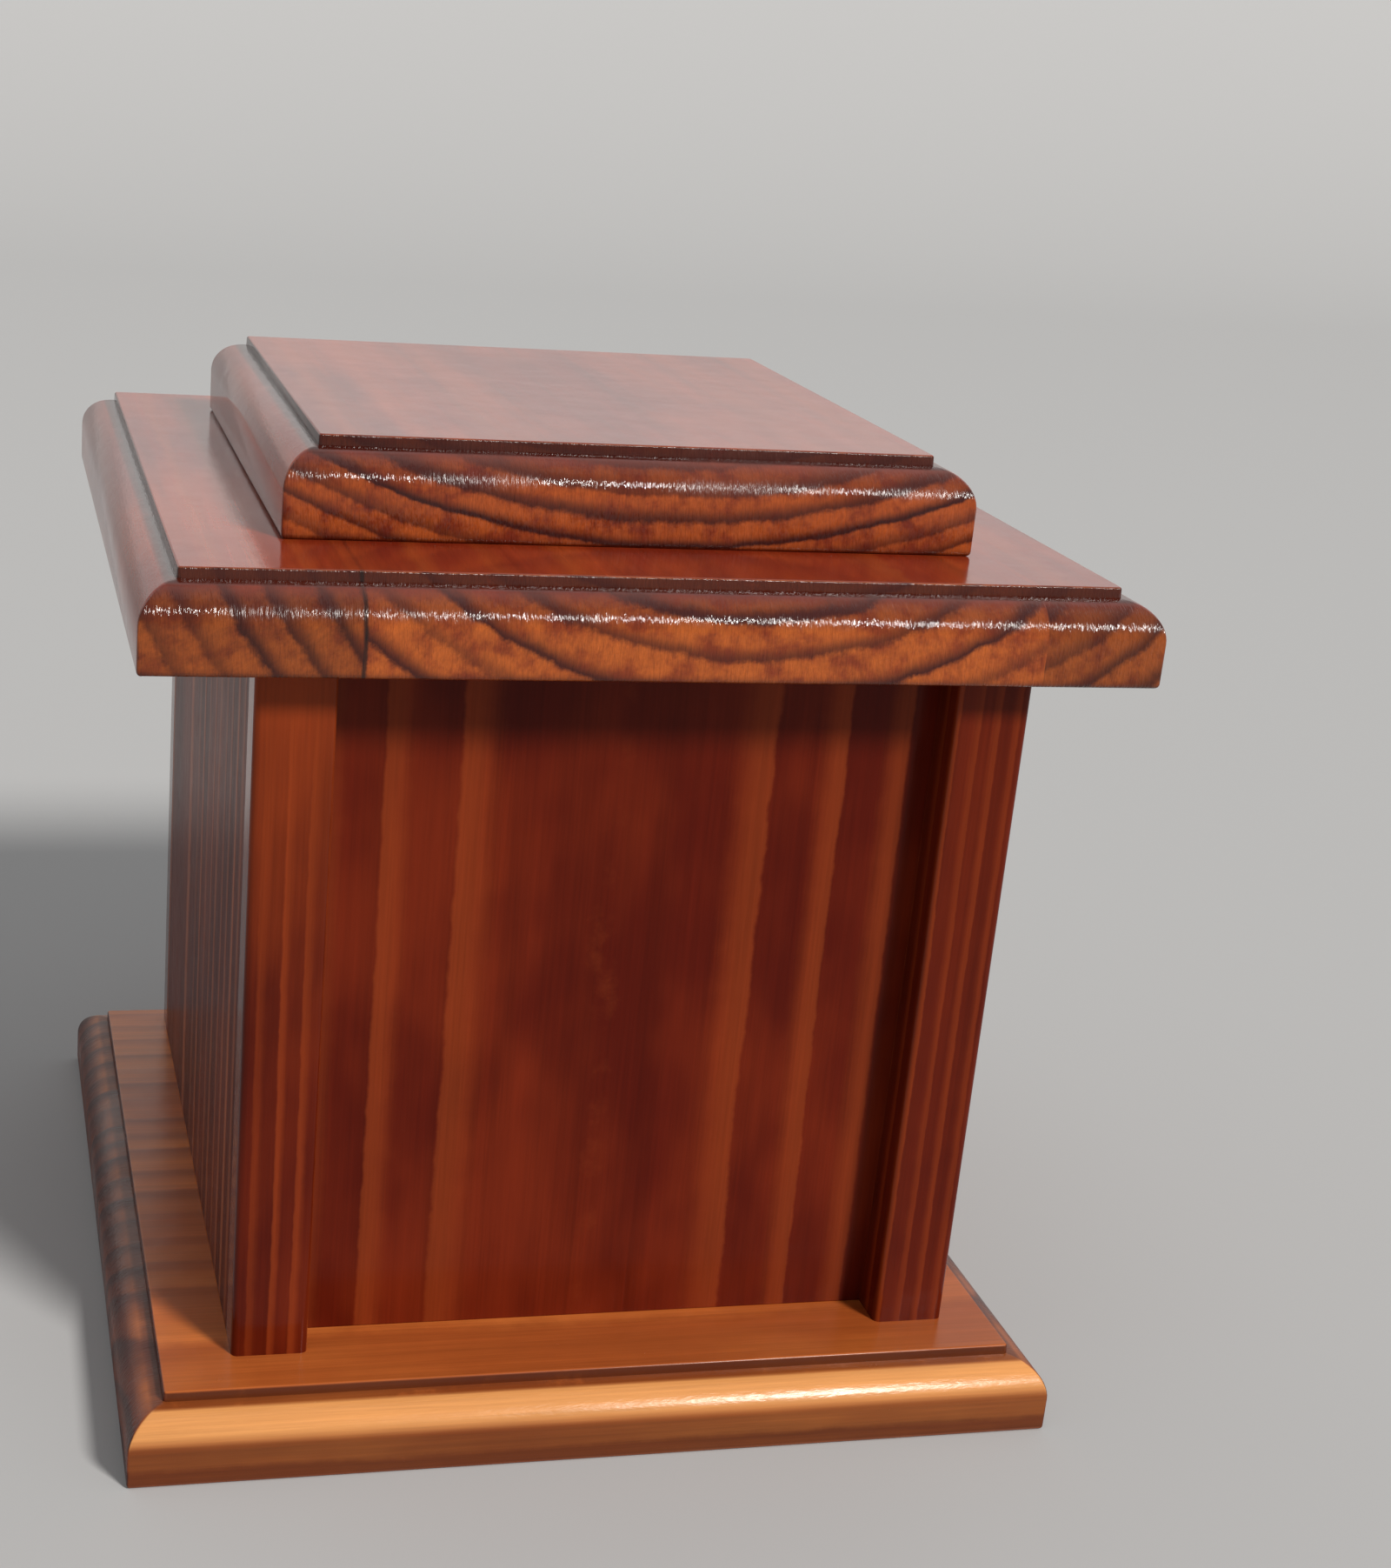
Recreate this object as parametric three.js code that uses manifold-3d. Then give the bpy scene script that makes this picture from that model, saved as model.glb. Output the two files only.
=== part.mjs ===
// A wooden cremation urn: a moulded base board, a square box body with four corner pilasters,
// a lid board and a smaller cap board. The box is hollow and open at the top, and the lid rests on it.
// Millimetres, +Z up. The origin is the middle of the base board's underside, and the front faces -Y.

import * as THREE from "three";
import { mergeVertices } from "three/addons/utils/BufferGeometryUtils.js";
import Module from "manifold-3d";

const wasm = await Module();
wasm.setup();

// Driving dimensions

const BASE = { width: 206, depth: 216, thickness: 18, centre: [0, 0] };
const LID = { width: 210, depth: 210, thickness: 19.5, centre: [1.5, 6] };
const CAP = { width: 148, depth: 148, thickness: 20, centre: [1, 8] };

const BOX_SIDE = 163.5;
const BOX_HEIGHT = 154.5;
const BOX_CENTRE = [2, 4.25];
const WALL = 10;

const PILASTER_WIDTH = 16.5;
const PILASTER_THICKNESS = 10;
const PILASTER_EDGE_RADIUS = 1.5;

// The edge moulding that the three boards share: a small step, then a quarter round
const MOULD_STEP = 2.25;
const MOULD_RADIUS = 7.75;
const LOWER_EDGE_RADIUS = 1;
const ROUND_SEGMENTS = 10;
const EDGE_SEGMENTS = 3;

const FINISH = {
  honey: { color: 0xa9571f, roughness: 0.3, metalness: 0 },
  chestnut: { color: 0x8a3d19, roughness: 0.28, metalness: 0 },
  russet: { color: 0x6e2812, roughness: 0.3, metalness: 0 },
  umber: { color: 0x5c2413, roughness: 0.32, metalness: 0 },
};

// Building blocks

function meshOf(name, geometry, finish) {
  const mesh = new THREE.Mesh(geometry, new THREE.MeshStandardMaterial(finish));
  mesh.name = name;
  return mesh;
}

function solidOf(geometry) {
  const bare = geometry.clone();
  bare.deleteAttribute("normal");
  bare.deleteAttribute("uv");
  const merged = mergeVertices(bare, 1e-4);
  return new wasm.Manifold(
    new wasm.Mesh({
      numProp: 3,
      vertProperties: new Float32Array(merged.attributes.position.array),
      triVerts: new Uint32Array(merged.index.array),
    }),
  );
}

function geometryOf(solid) {
  const { vertProperties, triVerts } = solid.getMesh();
  const geometry = new THREE.BufferGeometry();
  geometry.setAttribute("position", new THREE.BufferAttribute(new Float32Array(vertProperties), 3));
  geometry.setIndex(new THREE.BufferAttribute(new Uint32Array(triVerts), 1));
  geometry.computeVertexNormals();
  return geometry;
}

// Points of a quarter circle about (x, z), from one angle to another, both ends left in
function arc(x, z, radius, from, to, segments) {
  const points = [];
  for (let i = 0; i <= segments; i += 1) {
    const angle = from + ((to - from) * i) / segments;
    points.push(new THREE.Vector2(x + radius * Math.cos(angle), z + radius * Math.sin(angle)));
  }
  return points;
}

// A board's cross-section: eased lower edges, a flat side, the quarter round, the step and the flat top
function boardProfile(width, thickness) {
  const half = width / 2;
  const shoulder = thickness - MOULD_STEP;
  const round = shoulder - MOULD_RADIUS;
  const inner = half - LOWER_EDGE_RADIUS;
  const right = [
    ...arc(inner, LOWER_EDGE_RADIUS, LOWER_EDGE_RADIUS, -Math.PI / 2, 0, EDGE_SEGMENTS),
    ...arc(half - MOULD_RADIUS, round, MOULD_RADIUS, 0, Math.PI / 2, ROUND_SEGMENTS),
    new THREE.Vector2(half - MOULD_RADIUS, thickness),
  ];
  const left = right.map((point) => new THREE.Vector2(-point.x, point.y)).reverse();
  return new THREE.Shape([...right, ...left]);
}

// The profile run along Y, as a cutter would shape the two long edges of a plank
function mouldedPlank(width, length, thickness) {
  const plank = new THREE.ExtrudeGeometry(boardProfile(width, thickness), {
    depth: length,
    bevelEnabled: false,
    steps: 1,
  });
  plank.translate(0, 0, -length / 2);
  plank.rotateX(Math.PI / 2);
  return plank;
}

// A board moulded on all four edges: what two crossing planks share, so the corners are mitred
function mouldedBoard(name, size, bottom, finish) {
  const spare = 20;
  const alongY = mouldedPlank(size.width, size.depth + spare, size.thickness);
  const alongX = mouldedPlank(size.depth, size.width + spare, size.thickness).rotateZ(Math.PI / 2);
  const board = meshOf(name, geometryOf(solidOf(alongY).intersect(solidOf(alongX))), finish);
  board.position.set(size.centre[0], size.centre[1], bottom);
  return board;
}

function flatPanel(name, width, depth, x, y, finish) {
  const panel = meshOf(name, new THREE.BoxGeometry(width, depth, BOX_HEIGHT), finish);
  panel.position.set(x, y, BOX_HEIGHT / 2);
  return panel;
}

// A strip with its two outward edges eased, drawn facing -Y with its back on y = 0
function pilaster(name, x, y, facing, finish) {
  const half = PILASTER_WIDTH / 2;
  const r = PILASTER_EDGE_RADIUS;
  const front = -PILASTER_THICKNESS;
  const section = new THREE.Shape([
    new THREE.Vector2(half, 0),
    new THREE.Vector2(-half, 0),
    ...arc(-half + r, front + r, r, Math.PI, 1.5 * Math.PI, EDGE_SEGMENTS),
    ...arc(half - r, front + r, r, 1.5 * Math.PI, 2 * Math.PI, EDGE_SEGMENTS),
  ]);
  const geometry = new THREE.ExtrudeGeometry(section, { depth: BOX_HEIGHT, bevelEnabled: false });
  if (facing > 0) geometry.rotateZ(Math.PI);
  const strip = meshOf(name, geometry, finish);
  strip.position.set(x, y, 0);
  return strip;
}

// The object's pieces

function boxBody() {
  const body = new THREE.Group();
  const half = BOX_SIDE / 2;
  const wallMiddle = half - WALL / 2;
  const between = BOX_SIDE - 2 * WALL;
  body.add(flatPanel("left_wall", WALL, BOX_SIDE, -wallMiddle, 0, FINISH.umber));
  body.add(flatPanel("right_wall", WALL, BOX_SIDE, wallMiddle, 0, FINISH.umber));
  body.add(flatPanel("front_panel", between, WALL, 0, -wallMiddle, FINISH.russet));
  body.add(flatPanel("back_panel", between, WALL, 0, wallMiddle, FINISH.russet));

  const stripMiddle = half - PILASTER_WIDTH / 2;
  for (const [end, facing] of [["front", -1], ["back", 1]]) {
    for (const [side, sign] of [["left", -1], ["right", 1]]) {
      const name = `${end}_${side}_pilaster`;
      body.add(pilaster(name, sign * stripMiddle, facing * half, facing, FINISH.chestnut));
    }
  }
  body.position.set(BOX_CENTRE[0], BOX_CENTRE[1], BASE.thickness);
  return body;
}

const lidBottom = BASE.thickness + BOX_HEIGHT;
const urn = new THREE.Group();
urn.add(mouldedBoard("base_board", BASE, 0, FINISH.honey));
urn.add(boxBody());
urn.add(mouldedBoard("lid_board", LID, lidBottom, FINISH.chestnut));
urn.add(mouldedBoard("cap_board", CAP, lidBottom + LID.thickness, FINISH.russet));

export default urn;
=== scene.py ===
"""A varnished wooden urn: moulded boards, a square box with corner pilasters, and their wood grain."""

import math
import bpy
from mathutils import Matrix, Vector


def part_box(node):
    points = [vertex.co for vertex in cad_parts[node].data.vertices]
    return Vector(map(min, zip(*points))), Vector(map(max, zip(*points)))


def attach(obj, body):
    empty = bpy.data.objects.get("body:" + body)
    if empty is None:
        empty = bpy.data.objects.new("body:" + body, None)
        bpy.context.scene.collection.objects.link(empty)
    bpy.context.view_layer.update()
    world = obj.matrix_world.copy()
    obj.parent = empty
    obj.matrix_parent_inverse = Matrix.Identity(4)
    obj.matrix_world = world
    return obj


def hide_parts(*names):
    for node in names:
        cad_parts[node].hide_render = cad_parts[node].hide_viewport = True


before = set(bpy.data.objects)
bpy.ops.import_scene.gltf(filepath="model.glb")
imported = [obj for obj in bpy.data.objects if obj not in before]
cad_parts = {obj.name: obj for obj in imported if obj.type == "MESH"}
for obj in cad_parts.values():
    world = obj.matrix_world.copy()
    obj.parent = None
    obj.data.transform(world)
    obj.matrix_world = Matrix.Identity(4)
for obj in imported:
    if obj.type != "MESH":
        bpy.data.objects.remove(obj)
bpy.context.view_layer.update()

from types import SimpleNamespace

import bmesh
import bpy
from mathutils import Matrix, Vector

MM = 0.001

# The moulding of the three boards, as a cutter leaves it
MOULD_STEP = 2.25 * MM
MOULD_RADIUS = 7.75 * MM
ROUND_SEGMENTS = 14
STEP_DRAFT = 0.12 * MM

# How far each edge is eased, and in how many strips
LOWER_EASE = (1.0 * MM, 4)
ARRIS_EASE = (0.45 * MM, 3)
CORNER_EASE = (0.6 * MM, 3)
PANEL_EASE = (0.35 * MM, 2)
PILASTER_EASE = (1.5 * MM, 5)

# Vertices closer than this lie at the same place, and an edge that rises more than this is an upright one
SAME_PLACE = 1e-6
UPRIGHT_RISE = 10 * MM

# Faces larger than this are flat, and no strip of a round is as large
FLAT_AREA = (17 * MM) ** 2
FLAT_ANGLE = math.radians(5)
ROUND_ANGLE = math.radians(40)

# The camera, at the photograph's viewing angle
CAMERA_EYE = Vector((-0.1363, -0.5472, 0.3001))
CAMERA_AIM = Vector((0.0054, -0.0039, 0.0982))
CAMERA_ROLL = math.radians(4.65)
IMAGE_LONG_SIDE = 1803
FOCAL_PIXELS = 2820
SENSOR = 36.0
CAMERA_SHIFT = (0.0887, 0.0546)

# The light, each direction pointing from the urn to its light
KEY_DIRECTION = Vector((0.437, -0.727, 0.65))
KEY_STRENGTH = 3.0
KEY_ANGLE = math.radians(11)
ROOM_STRENGTH = 0.4
URN_MIDDLE = Vector((0, 0, 0.1))

# The floor, and the sweep behind the urn
FLOOR_HALF = 4.0
FLOOR_BACK = 2.0
SWEEP_RADIUS = 3.0
SWEEP_STEPS = 24


# Shader maths

class Value:
    """A shader socket that sums can be written with. Each operator adds a Math node."""

    def __init__(self, graph, node, output=0):
        self.graph = graph
        self.node = node
        self.socket = node.outputs[output] if node.outputs else None

    def __getitem__(self, output):
        return Value(self.graph, self.node, output)

    def __add__(self, other):
        return self.graph.math("ADD", self, other)

    def __radd__(self, other):
        return self.graph.math("ADD", other, self)

    def __sub__(self, other):
        return self.graph.math("SUBTRACT", self, other)

    def __rsub__(self, other):
        return self.graph.math("SUBTRACT", other, self)

    def __mul__(self, other):
        return self.graph.math("MULTIPLY", self, other)

    def __rmul__(self, other):
        return self.graph.math("MULTIPLY", other, self)

    def __truediv__(self, other):
        return self.graph.math("DIVIDE", self, other)

    def __pow__(self, other):
        return self.graph.math("POWER", self, other)

    def __gt__(self, other):
        return self.graph.math("GREATER_THAN", self, other)

    def __lt__(self, other):
        return self.graph.math("LESS_THAN", self, other)

    def __abs__(self):
        return self.graph.math("ABSOLUTE", self)


class Graph:
    """The node tree of one material."""

    def __init__(self, name):
        self.material = bpy.data.materials.new(name)
        self.material.use_nodes = True
        self.tree = self.material.node_tree
        self.tree.nodes.clear()

    def add(self, kind, settings=None, inputs=None):
        """A node of that type: its settings first, then the values or links of its sockets."""
        node = self.tree.nodes.new(kind)
        for name, value in (settings or {}).items():
            setattr(node, name, value)
        for key, value in (inputs or {}).items():
            if isinstance(value, Value):
                self.tree.links.new(value.socket, node.inputs[key])
            else:
                node.inputs[key].default_value = value
        return Value(self, node)

    def math(self, operation, *operands):
        return self.add("ShaderNodeMath", {"operation": operation}, dict(enumerate(operands)))

    def position(self):
        """Object coordinates in millimetres."""
        coordinates = self.add("ShaderNodeTexCoord")["Object"]
        return self.add("ShaderNodeVectorMath", {"operation": "SCALE"}, {0: coordinates, "Scale": 1 / MM})

    def normal(self):
        return self.add("ShaderNodeTexCoord")["Normal"]

    def split(self, vector):
        parts = self.add("ShaderNodeSeparateXYZ", None, {0: vector})
        return parts["X"], parts["Y"], parts["Z"]

    def vector(self, x, y, z):
        return self.add("ShaderNodeCombineXYZ", None, {0: x, 1: y, 2: z})

    def shift(self, vector, step):
        return self.add("ShaderNodeVectorMath", {"operation": "ADD"}, {0: vector, 1: step})

    def noise(self, vector, scale, detail, roughness=0.5):
        inputs = {"Vector": vector, "Scale": scale, "Detail": detail, "Roughness": roughness}
        return self.add("ShaderNodeTexNoise", {"noise_dimensions": "3D"}, inputs)["Fac"]

    def random(self, value):
        return self.add("ShaderNodeTexWhiteNoise", {"noise_dimensions": "1D"}, {"W": value})["Value"]

    def smooth(self, value, low, high):
        """0 below low and 1 above high, with a smooth way between."""
        inputs = {"Value": value, "From Min": low, "From Max": high}
        return self.add("ShaderNodeMapRange", {"interpolation_type": "SMOOTHSTEP"}, inputs)

    def mix(self, factor, first, second):
        """A colour between two: the first where the factor is 0."""
        settings = {"data_type": "RGBA", "clamp_factor": True}
        node = self.add("ShaderNodeMix", settings, {0: factor, 6: first, 7: second})
        return node[2]

    def tint(self, colour, factor):
        """A colour made lighter or darker by a number or a socket."""
        if not isinstance(colour, Value):
            colour = colour[:3]
        return self.add("ShaderNodeVectorMath", {"operation": "SCALE"}, {0: colour, "Scale": factor})

    def bump(self, height, distance, strength, normal=None):
        inputs = {"Height": height, "Distance": distance, "Strength": strength}
        if normal is not None:
            inputs["Normal"] = normal
        return self.add("ShaderNodeBump", None, inputs)


def rgb(red, green, blue):
    return (red, green, blue, 1.0)


# Wood

# For each grain: the axes along the trunk, across it and through its depth
AXES = {"X": (0, 1, 2), "Y": (1, 0, 2), "Z": (2, 0, 1)}

DEFAULT_WOOD = {
    "grain": "Z",           # the axis that the trunk ran along
    "seed": 0.0,
    "board": None,          # the node, where the piece is a moulded board
    "seams": (),            # glued joints: place across the grain, outward side, how dark the line is

    # Growth rings
    "pith": (0, 60),        # where the trunk's middle lies across the grain and in depth, mm
    "ring": 9.0,            # ring width, mm
    "offset": 0.0,          # moves the rings outwards, in ring widths
    "late_from": 0.38,      # where in a ring its late wood begins
    "late_to": 0.80,        # and where it starts to end
    "ragged": 1.0,          # how broken the rings' outlines are
    "waver": 1.5,           # how far the rings stray, mm
    "uneven": 0.5,          # how unequal the rings are, in ring widths

    # Stain on the long grain, and the painted shade of its upright faces
    "deep": rgb(0.095, 0.008, 0.003),
    "mid": rgb(0.17, 0.019, 0.005),
    "streak": rgb(0.34, 0.060, 0.012),
    "streak_amount": 0.6,
    "glow": None,           # the heights between which the colour grows lighter towards the top, mm
    "edge_shade": 1.0,      # how much of its colour an upright face keeps: a painted shade, darker than the tops lit from above

    # Stain on the end grain
    "end": rgb(0.42, 0.092, 0.014),
    # end_ring: the dark late wood of the end grain, also the colour of the painted shadow at a step's foot
    # and along a lower edge
    "end_ring": rgb(0.055, 0.008, 0.004),
    "end_deep": rgb(0.20, 0.030, 0.007),

    # Stain on a moulded rim, with a painted highlight on its rounds along the grain and a painted shadow
    # at its step's foot
    "crest": None,          # the colour of rounds that run along the grain: a lighter honey, partly the wood's own tone and partly painted highlight
    "riser_amount": 0.9,    # how dark the step grows: stain on its riser and a painted shadow at its foot

    # Varnish
    "polish": 0.09,         # its least roughness
    "gloss": 0.4,
    "relief": 0.08,         # height of the grain's relief, mm
}

# Noises drawn out along the grain: scale across it and along it, per mm, then detail and roughness
FIBRE = (1.6, 0.035, 4.0, 0.65)
THREAD = (0.45, 0.006, 3.0, 0.6)
BAND = (0.13, 0.004, 2.0, 0.5)
BLOTCH = (0.03, 0.015, 3.0, 0.55)
WANDER = (0.012, 0.005, 1.0, 0.5)
WAVER = (0.05, 0.012, 2.0, 0.5)

# Where in its noise a patch begins and is full: blotches of stain, mottling and dull varnish
BLOTCH_EDGE = (0.35, 0.68)
MOTTLE_EDGE = (0.30, 0.62)
DULL_EDGE = (0.42, 0.60)

BURNT_ROUND = rgb(0.050, 0.010, 0.008)
SEAM_LINE = rgb(0.012, 0.005, 0.004)

# Where a rim's masks fade, mm: past the round, at a mitre, about the step's foot and up the lower edge
RIM_FADE = 0.5
MITRE_FADE = 0.3
FOOT_FADE = (0.2, 0.6)
LOWER_FADE = (0.3, 2.2)
ABOVE_FOOT = 0.1

# How squarely a face looks along the grain where long grain turns to end grain, and how far upwards
# it looks where the round's mask grows and where the step's riser ends
END_SLOPE = (0.25, 0.75)
ROUND_SLOPE = (0.12, 0.55)
RISER_SLOPE = (0.4, 0.8)

# Where a ring's late wood is densest, and how many rays there are to a radian
LATE_PEAK = 0.86
RAYS = 150.0

# How far the edge of a glow and the line of a seam stray, and where that line fades, mm
GLOW_STRAY = 90
SEAM_STRAY = 1.5
SEAM_FADE = (0.15, 0.7)

# Heights of the varnish's slow waves and of sawn end grain
FILM_WAVE = 0.4 * MM
SAWN_RELIEF = 0.45 * MM

# How far the pith of the plank past a seam lies from its neighbour's, mm, and how far its seed is moved
NEXT_PITH = (23, 17)
NEXT_SEED = 7.3


def place_in_trunk(g, grain):
    """Where a point lies in the trunk that its piece was sawn from, and how its face lies to the grain."""
    point = g.position()
    parts = g.split(point)
    normal = g.split(g.normal())
    along, across, depth = (parts[axis] for axis in AXES[grain])
    end = g.smooth(abs(normal[AXES[grain][0]]), *END_SLOPE)
    return SimpleNamespace(point=point, along=along, across=across, depth=depth,
                           height=parts[2], upward=normal[2], end=end)


def drawn_noise(g, place, kind, seed):
    """One of the drawn-out noises. Its seed moves it across the trunk, through its depth and along it."""
    crosswise, lengthwise, detail, roughness = kind
    drawn = g.vector(place.across * crosswise, place.depth * crosswise, place.along * lengthwise)
    return g.noise(g.shift(drawn, seed), 1.0, detail, roughness)


def stain_noises(g, seed, place):
    """The noises that the rings, the stain and the varnish share."""
    return SimpleNamespace(
        fibre=drawn_noise(g, place, FIBRE, (0, 0, seed)),
        thread=drawn_noise(g, place, THREAD, (0, seed, 0)),
        band=drawn_noise(g, place, BAND, (seed, 0, 0)),
        blotch=drawn_noise(g, place, BLOTCH, (0, 0, seed)),
        mottle=g.noise(place.point, 0.16, 4.0, 0.6),
    )


def growth_rings(g, w, place, noises):
    """Rings by their distance from the pith, with the trunk's slow wander and a finer waver."""
    seed = w["seed"]
    wander = drawn_noise(g, place, WANDER, (seed, 0, 0))
    waver = drawn_noise(g, place, WAVER, (0, seed, 0))
    pith_across, pith_depth = w["pith"]
    across = place.across - pith_across + (wander - 0.5) * (w["waver"] * 2)
    depth = place.depth - pith_depth + (waver - 0.5) * w["waver"]
    plank = seed
    for seam, side, _ in w["seams"]:
        beyond = (place.across - seam) * side > 0
        across = across - beyond * NEXT_PITH[0]
        depth = depth + beyond * NEXT_PITH[1]
        plank = plank + beyond * NEXT_SEED
    radius = (across ** 2 + depth ** 2) ** 0.5
    uneven = g.noise(g.vector(radius * 0.06, seed, plank), 1.0, 2.0) - 0.5
    ragged = (noises.fibre - 0.5) * 0.12 + (noises.mottle - 0.5) * 0.45
    turns = radius / w["ring"] + uneven * (w["uneven"] * 2) - w["offset"] + ragged * w["ragged"]
    phase = g.math("FRACT", turns)
    ring_tone = g.random(g.math("FLOOR", turns) + plank)
    late = g.smooth(phase, w["late_from"], LATE_PEAK) * (1 - g.smooth(phase, w["late_to"], 1.0))
    return SimpleNamespace(radius=radius, angle=g.math("ARCTAN2", across, depth),
                           late=late * (0.45 + 0.55 * ring_tone))


def long_grain(g, w, place, noises, rings):
    """Blotched stain with a streak in each ring's late wood, lighter and darker from fibre to fibre."""
    colour = g.mix(g.smooth(noises.blotch, *BLOTCH_EDGE), w["deep"], w["mid"])
    # The colour grows lighter upwards between the two glow heights
    if w["glow"]:
        height = place.height + (noises.blotch - 0.5) * GLOW_STRAY
        colour = g.mix(g.smooth(height, *w["glow"]), colour, w["streak"])
    colour = g.mix(rings.late * w["streak_amount"], colour, w["streak"])
    colour = g.tint(colour, 0.30 + 0.5 * noises.fibre + 0.45 * noises.thread + 0.5 * noises.band)
    # Painted shade: upright faces are darkened, as if they got less of the light from above than the tops
    if w["edge_shade"] < 1:
        flatness = g.smooth(abs(place.upward), 0.0, 0.6)
        colour = g.tint(colour, w["edge_shade"] + (1 - w["edge_shade"]) * flatness)
    return colour


def end_grain(g, w, place, noises, rings):
    """Golden early wood and dark late wood, with the rays and a mottled stain."""
    ray_place = g.vector(rings.angle * RAYS, rings.radius * 0.22, w["seed"])
    rays = g.noise(ray_place, 1.0, 3.0, 0.65)
    colour = g.mix(g.smooth(noises.mottle, *MOTTLE_EDGE), w["end_deep"], w["end"])
    colour = g.mix(rings.late * 1.15, colour, w["end_ring"])
    colour = g.tint(colour, 0.45 + 0.65 * rays + 0.45 * noises.fibre)
    for seam, side, _ in w["seams"]:
        colour = g.tint(colour, 1 - 0.35 * ((place.across - seam) * side > 0))
    return colour


def board_rim(g, w, place):
    """A moulded board's rim: where it crosses the grain, its round, its step and its lower edge."""
    low, high = (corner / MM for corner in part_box(w["board"]))
    middle = (low + high) / 2
    half = (high - low) / 2
    along_axis, across_axis, _ = AXES[w["grain"]]
    from_end = half[along_axis] - abs(place.along - middle[along_axis])
    from_side = half[across_axis] - abs(place.across - middle[across_axis])
    width = MOULD_RADIUS / MM
    foot_height = high.z - MOULD_STEP / MM
    rim = 1 - g.smooth(g.math("MINIMUM", from_end, from_side), width, width + RIM_FADE)
    foot = (1 - g.smooth(abs(place.height - foot_height), *FOOT_FADE)) * rim
    riser = (place.height > foot_height) * (1 - g.smooth(place.upward, *RISER_SLOPE))
    return SimpleNamespace(
        crossing=rim * g.smooth(from_side - from_end, -MITRE_FADE, MITRE_FADE),
        rounded=g.smooth(place.upward, *ROUND_SLOPE) * (place.height < foot_height + ABOVE_FOOT),
        step=g.math("MAXIMUM", foot, riser),
        lower=1 - g.smooth(place.height - low.z, *LOWER_FADE),
    )


def rim_stain_and_painted_light(g, w, rim, noises, rings, colour):
    """The round takes more stain where it crosses the grain and a painted highlight where it runs along
    it; the step darkens with stain on its riser and a painted shadow at its foot, and the lower edge with
    painted shade where it meets the part beneath.
    """
    # Painted highlight: rounds along the grain are lightened towards the crest colour, partly as if
    # catching the light from above
    if w["crest"]:
        crest = g.tint(w["crest"], 0.6 + 0.5 * noises.fibre + 0.3 * noises.thread)
        colour = g.mix(rim.rounded * (1 - rim.crossing) * (1 - rim.step) * 0.8, colour, crest)
    burnt = 0.25 + 0.5 * noises.mottle + 0.6 * rings.late
    colour = g.mix(rim.rounded * rim.crossing * 0.85 * burnt, colour, BURNT_ROUND)
    # Painted shade: a shadow line at the step's foot and a darker band along the lower edge, where the
    # board meets the part beneath; the riser's darkening is stain
    stain_and_shade = g.math("MAXIMUM", rim.step * w["riser_amount"], rim.lower * 0.45)
    patches = 0.45 + 0.55 * g.smooth(noises.mottle + 0.3 * noises.fibre, *MOTTLE_EDGE)
    return g.mix(stain_and_shade * patches, colour, w["end_ring"])


def seam_lines(g, w, place, noises, colour):
    """The thin dark line of each glued joint, darkest on the end grain."""
    for seam, _, darkness in w["seams"]:
        if darkness:
            from_seam = abs(place.across - seam + (noises.mottle - 0.5) * SEAM_STRAY)
            line = 1 - g.smooth(from_seam, *SEAM_FADE)
            colour = g.mix(line * (0.4 + 0.6 * place.end) * darkness, colour, SEAM_LINE)
    return colour


def varnish_relief(g, w, place, rim, noises, rings):
    """The film's slow waves, the fibres' relief through it, and the rougher end grain and rounds."""
    film = g.noise(place.point, 0.09, 2.0)
    smooth_normal = g.bump(film, FILM_WAVE, 0.25)
    grain = noises.fibre * 0.35 + rings.late * 0.4 + noises.thread * 0.5
    face_normal = g.bump(grain * (1 - place.end), w["relief"] * MM, 0.5, smooth_normal)
    crossing = rim.crossing if rim else place.end
    rough = g.math("MAXIMUM", crossing, place.end) * (1 - 0.8 * g.smooth(place.upward, 0.75, 0.95))
    if rim:
        rough = g.math("MAXIMUM", rough, rim.rounded * 0.22)
    sawn_place = g.vector(place.across * 1.9, place.depth * 0.3, place.along * 0.3 + w["seed"])
    sawn = g.noise(sawn_place, 1.0, 2.0, 0.6)
    return g.bump(sawn * rough, SAWN_RELIEF, 0.7, face_normal)


def wood(name, **choices):
    """Stained softwood under varnish. A choice takes the place of its namesake in DEFAULT_WOOD."""
    w = {**DEFAULT_WOOD, **choices}
    g = Graph(name)
    place = place_in_trunk(g, w["grain"])
    rim = board_rim(g, w, place) if w["board"] else None
    noises = stain_noises(g, w["seed"], place)
    rings = growth_rings(g, w, place, noises)

    face = long_grain(g, w, place, noises, rings)
    sawn = end_grain(g, w, place, noises, rings)
    colour = g.mix(place.end, face, sawn)
    if rim:
        colour = rim_stain_and_painted_light(g, w, rim, noises, rings, colour)
    colour = seam_lines(g, w, place, noises, colour)

    crossing = rim.crossing if rim else place.end
    dulled = g.smooth(noises.blotch, *DULL_EDGE) * 0.18 - 0.05
    shader = g.add("ShaderNodeBsdfPrincipled", None, {
        "Base Color": colour,
        "Roughness": w["polish"] + 0.10 * noises.mottle + crossing * dulled,
        "IOR": 1.5,
        "Specular IOR Level": w["gloss"],
        "Normal": varnish_relief(g, w, place, rim, noises, rings),
    })
    g.add("ShaderNodeOutputMaterial", None, {"Surface": shader})
    return g.material


def honey_base():
    return wood(
        "honey_base", grain="X", board="base_board", seed=2.0,
        pith=(-100, -40), ragged=0.3, late_from=0.2,
        deep=rgb(0.46, 0.110, 0.022), mid=rgb(0.66, 0.190, 0.040), streak=rgb(0.30, 0.062, 0.013),
        # painted shade: the base's upright faces keep 0.38 of their colour
        streak_amount=0.95, edge_shade=0.38, end=rgb(0.2, 0.04, 0.012), end_deep=rgb(0.12, 0.02, 0.008),
        # crest: the base's rounds, partly painted highlight
        crest=rgb(0.74, 0.34, 0.11), riser_amount=0.6, polish=0.2, gloss=0.3)


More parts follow.
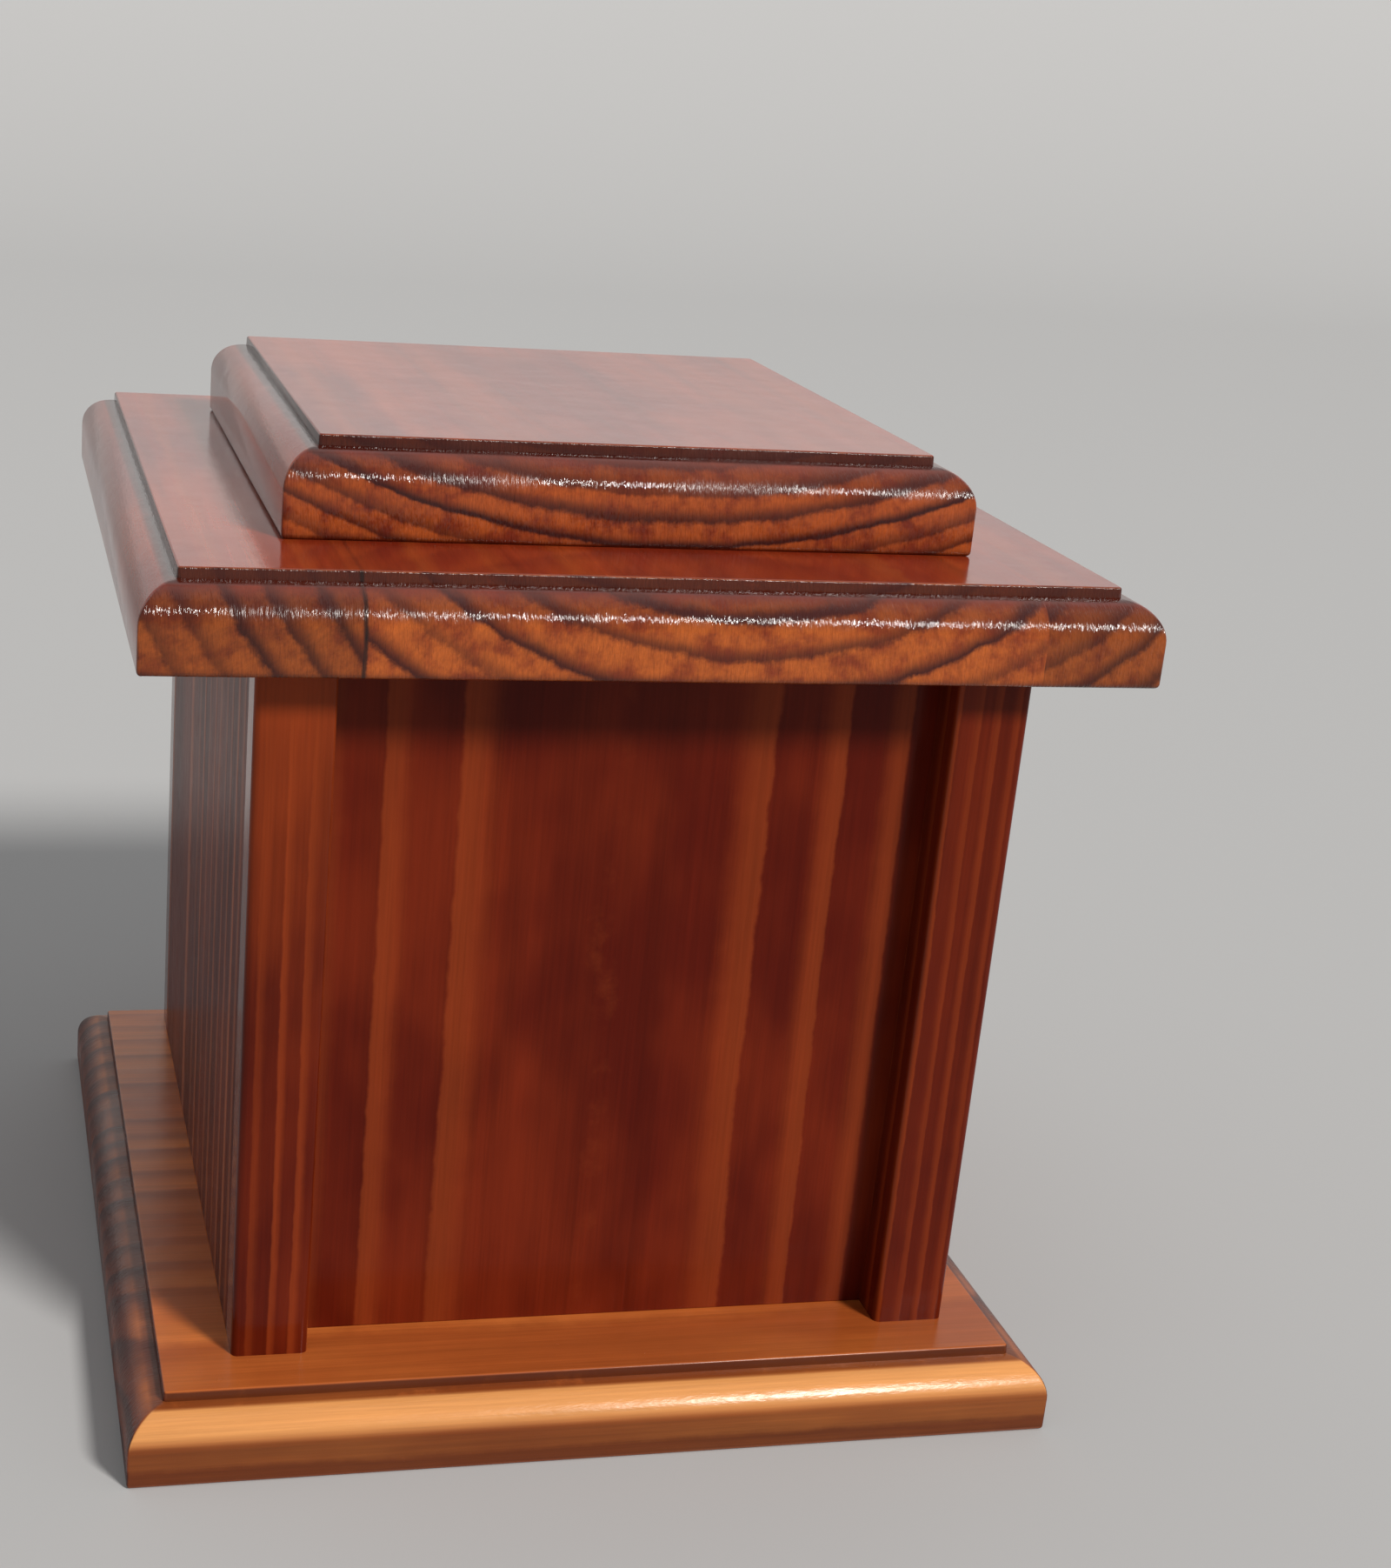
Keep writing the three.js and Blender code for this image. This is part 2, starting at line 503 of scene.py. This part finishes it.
def chestnut_lid():
    return wood(
        "chestnut_lid", grain="Y", board="lid_board", seed=5.0, seams=((-60.5, -1, 0.85), (80, 1, 0)),
        pith=(17, 274), ring=8.0, offset=0.275,
        deep=rgb(0.20, 0.020, 0.007), mid=rgb(0.32, 0.045, 0.012), polish=0.11, relief=0.04)


def russet_cap():
    return wood(
        "russet_cap", grain="Y", board="cap_board", seed=9.0,
        pith=(8, 368), ring=5.0, offset=0.15, late_from=0.22,
        deep=rgb(0.20, 0.020, 0.007), mid=rgb(0.32, 0.045, 0.012), end=rgb(0.36, 0.070, 0.012),
        end_deep=rgb(0.15, 0.018, 0.006), end_ring=rgb(0.04, 0.006, 0.004), polish=0.11, relief=0.04)


def umber_side():
    return wood(
        "umber_side", seed=13.0, pith=(-40, 60), ring=10.0, ragged=0.3, late_from=0.55,
        deep=rgb(0.080, 0.010, 0.004), mid=rgb(0.14, 0.022, 0.008), streak=rgb(0.42, 0.120, 0.050),
        streak_amount=0.8, polish=0.26, gloss=0.03, relief=0.5)


def russet_panel():
    return wood(
        "russet_panel", seed=17.0, pith=(-1.7, -27.5), ring=10.4, offset=0.817,
        late_from=0.48, late_to=0.94, ragged=0.25, waver=1.2, uneven=0.05,
        deep=rgb(0.080, 0.006, 0.002), mid=rgb(0.15, 0.016, 0.004), streak=rgb(0.27, 0.045, 0.010),
        streak_amount=0.85, polish=0.16, gloss=0.1)


def strip_wood(name, **choices):
    return wood(
        name, ring=3.6, late_from=0.45, late_to=0.9, ragged=0.4,
        deep=rgb(0.065, 0.005, 0.002), mid=rgb(0.115, 0.012, 0.003), streak=rgb(0.26, 0.040, 0.008),
        streak_amount=0.7, end=rgb(0.2, 0.03, 0.008), gloss=0.12, **choices)


# Shapes

def rim_edges(bm, height):
    """The edges that lie at a height."""
    return [e for e in bm.edges if all(abs(v.co.z - height) < SAME_PLACE for v in e.verts)]


def mitre_edges(bm):
    """The upright corner edges and the mitres above them, where two sides meet."""
    bm.normal_update()
    edges = []
    for edge in bm.edges:
        first, second = (abs(face.normal.x) - abs(face.normal.y) for face in edge.link_faces)
        if first * second < 0:
            edges.append(edge)
    return edges


def ease(bm, edges, offset, segments):
    """Rounds edges over."""
    bmesh.ops.bevel(bm, geom=edges, offset=offset, offset_type="OFFSET", segments=segments,
                    profile=0.5, affect="EDGES", material=-1)


def block(low, high):
    """A closed box between two corners."""
    bm = bmesh.new()
    bmesh.ops.create_cube(bm, size=1.0)
    size = high - low
    bmesh.ops.scale(bm, vec=size, verts=bm.verts)
    bmesh.ops.translate(bm, vec=(low + high) / 2, verts=bm.verts)
    return bm


def mark_edges(bm):
    """Rounds are smooth from strip to strip, and flat faces stay flat up to their eased edges."""
    for edge in bm.edges:
        beside_flat = any(face.calc_area() > FLAT_AREA for face in edge.link_faces)
        edge.smooth = edge.calc_face_angle() < (FLAT_ANGLE if beside_flat else ROUND_ANGLE)


def finish_piece(bm, name, node, material):
    """Makes the piece's object, smooth but for its real edges, in the place of its solid."""
    mark_edges(bm)
    mesh = bpy.data.meshes.new(name)
    bm.to_mesh(mesh)
    bm.free()
    piece = bpy.data.objects.new(name, mesh)
    bpy.context.scene.collection.objects.link(piece)
    mesh.materials.append(material)
    mesh.shade_smooth()
    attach(piece, "root")
    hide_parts(node)


def moulded_board(name, node, material):
    """A board whose upper edges have a quarter round and, above it, a small step up to the flat top."""
    low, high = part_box(node)
    shoulder = high.z - MOULD_STEP
    bm = block(low, Vector((high.x, high.y, shoulder)))
    ease(bm, rim_edges(bm, shoulder), MOULD_RADIUS, ROUND_SEGMENTS)
    ease(bm, mitre_edges(bm), *CORNER_EASE)
    top = max(bm.faces, key=lambda f: f.calc_center_median().z)
    bmesh.ops.inset_region(bm, faces=[top], thickness=STEP_DRAFT, depth=MOULD_STEP, use_even_offset=True)
    ease(bm, rim_edges(bm, high.z), *ARRIS_EASE)
    ease(bm, rim_edges(bm, low.z), *LOWER_EASE)
    finish_piece(bm, name, node, material)


def panel(name, node, material):
    """A flat board with all its edges eased."""
    low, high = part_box(node)
    bm = block(low, high)
    ease(bm, list(bm.edges), *PANEL_EASE)
    finish_piece(bm, name, node, material)


def pilaster(name, node, material, facing):
    """A strip with its two outward upright edges rounded over."""
    low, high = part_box(node)
    bm = block(low, high)
    outward = low.y if facing < 0 else high.y
    upright = [e for e in bm.edges if all(abs(v.co.y - outward) < SAME_PLACE for v in e.verts)
               and abs(e.verts[0].co.z - e.verts[1].co.z) > UPRIGHT_RISE]
    ease(bm, upright, *PILASTER_EASE)
    finish_piece(bm, name, node, material)


def build_urn():
    moulded_board("base", "base_board", honey_base())
    moulded_board("lid", "lid_board", chestnut_lid())
    moulded_board("cap", "cap_board", russet_cap())
    side = umber_side()
    panel("box_left", "left_wall", side)
    panel("box_right", "right_wall", side)
    front = russet_panel()
    panel("box_front", "front_panel", front)
    panel("box_back", "back_panel", front)
    strips = {
        "left": strip_wood("chestnut_strip", seed=21.0, pith=(-40, -60), glow=(80, 190)),
        "right": strip_wood("russet_strip", seed=27.0, pith=(40, -60)),
    }
    for end, facing in (("front", -1), ("back", 1)):
        for hand in ("left", "right"):
            node = f"{end}_{hand}_pilaster"
            pilaster(f"strip_{end}_{hand}", node, strips[hand], facing)


# The room

def area_light(name, direction, distance, size, power, colour, diffuse=False):
    """A soft rectangular light that looks at the urn. Unless it is diffuse, it only shows in gloss."""
    data = bpy.data.lights.new(name, "AREA")
    data.shape = "RECTANGLE"
    data.size, data.size_y = size
    data.energy = power
    data.color = colour
    light = bpy.data.objects.new(name, data)
    light.location = URN_MIDDLE + direction.normalized() * distance
    light.rotation_euler = (-direction).to_track_quat("-Z", "Y").to_euler()
    light.visible_camera = False
    light.visible_diffuse = diffuse
    bpy.context.scene.collection.objects.link(light)


def light_room():
    data = bpy.data.lights.new("key", "SUN")
    data.energy = KEY_STRENGTH
    data.angle = KEY_ANGLE
    data.color = (1, 0.97, 0.93)
    key = bpy.data.objects.new("key", data)
    key.rotation_euler = (-KEY_DIRECTION).to_track_quat("-Z", "Y").to_euler()
    bpy.context.scene.collection.objects.link(key)
    area_light("back", Vector((0.1, 1, 0.7)), distance=2.2, size=(6.0, 1.9), power=13,
               colour=(1, 0.98, 0.97))
    area_light("top", Vector((0, 0.1, 1)), distance=1.9, size=(1.6, 1.6), power=3,
               colour=(1, 0.98, 0.96), diffuse=True)
    area_light("left", Vector((-1, 0.5, 0.6)), distance=1.9, size=(1.2, 0.8), power=1.5,
               colour=(1, 0.98, 0.97))
    world = bpy.data.worlds.new("pale_room")
    world.use_nodes = True
    background = world.node_tree.nodes["Background"]
    background.inputs["Color"].default_value = rgb(0.86, 0.87, 0.88)
    background.inputs["Strength"].default_value = ROOM_STRENGTH
    bpy.context.scene.world = world


def pale_floor():
    """A plain sweep: a wide floor that curves up into a wall far behind."""
    graph = Graph("pale_floor")
    shader = graph.add("ShaderNodeBsdfPrincipled", None, {
        "Base Color": rgb(0.5, 0.5, 0.5),
        "Roughness": 0.9,
        "Specular IOR Level": 0.0,
    })
    graph.add("ShaderNodeOutputMaterial", None, {"Surface": shader})
    bm = bmesh.new()
    bmesh.ops.create_grid(bm, x_segments=1, y_segments=1, size=FLOOR_HALF)
    bmesh.ops.translate(bm, vec=(0, FLOOR_BACK - FLOOR_HALF, 0), verts=bm.verts)
    far = [e for e in bm.edges if all(v.co.y > 0 for v in e.verts)]
    axis_point = Vector((0, FLOOR_BACK, SWEEP_RADIUS))
    bmesh.ops.spin(bm, geom=far, cent=axis_point, axis=(1, 0, 0), angle=math.pi / 2, steps=SWEEP_STEPS)
    bmesh.ops.recalc_face_normals(bm, faces=bm.faces)
    mesh = bpy.data.meshes.new("floor")
    bm.to_mesh(mesh)
    bm.free()
    mesh.shade_smooth()
    mesh.materials.append(graph.material)
    floor = bpy.data.objects.new("floor", mesh)
    bpy.context.scene.collection.objects.link(floor)


def place_camera():
    data = bpy.data.cameras.new("camera")
    data.sensor_width = SENSOR
    data.lens = FOCAL_PIXELS / IMAGE_LONG_SIDE * SENSOR
    data.shift_x, data.shift_y = CAMERA_SHIFT
    camera = bpy.data.objects.new("camera", data)
    turn = (CAMERA_AIM - CAMERA_EYE).to_track_quat("-Z", "Y").to_matrix().to_4x4()
    camera.matrix_world = Matrix.Translation(CAMERA_EYE) @ turn @ Matrix.Rotation(CAMERA_ROLL, 4, "Z")
    bpy.context.scene.collection.objects.link(camera)
    bpy.context.scene.camera = camera


place_camera()
build_urn()
light_room()
pale_floor()
bpy.context.scene.view_settings.view_transform = "Standard"
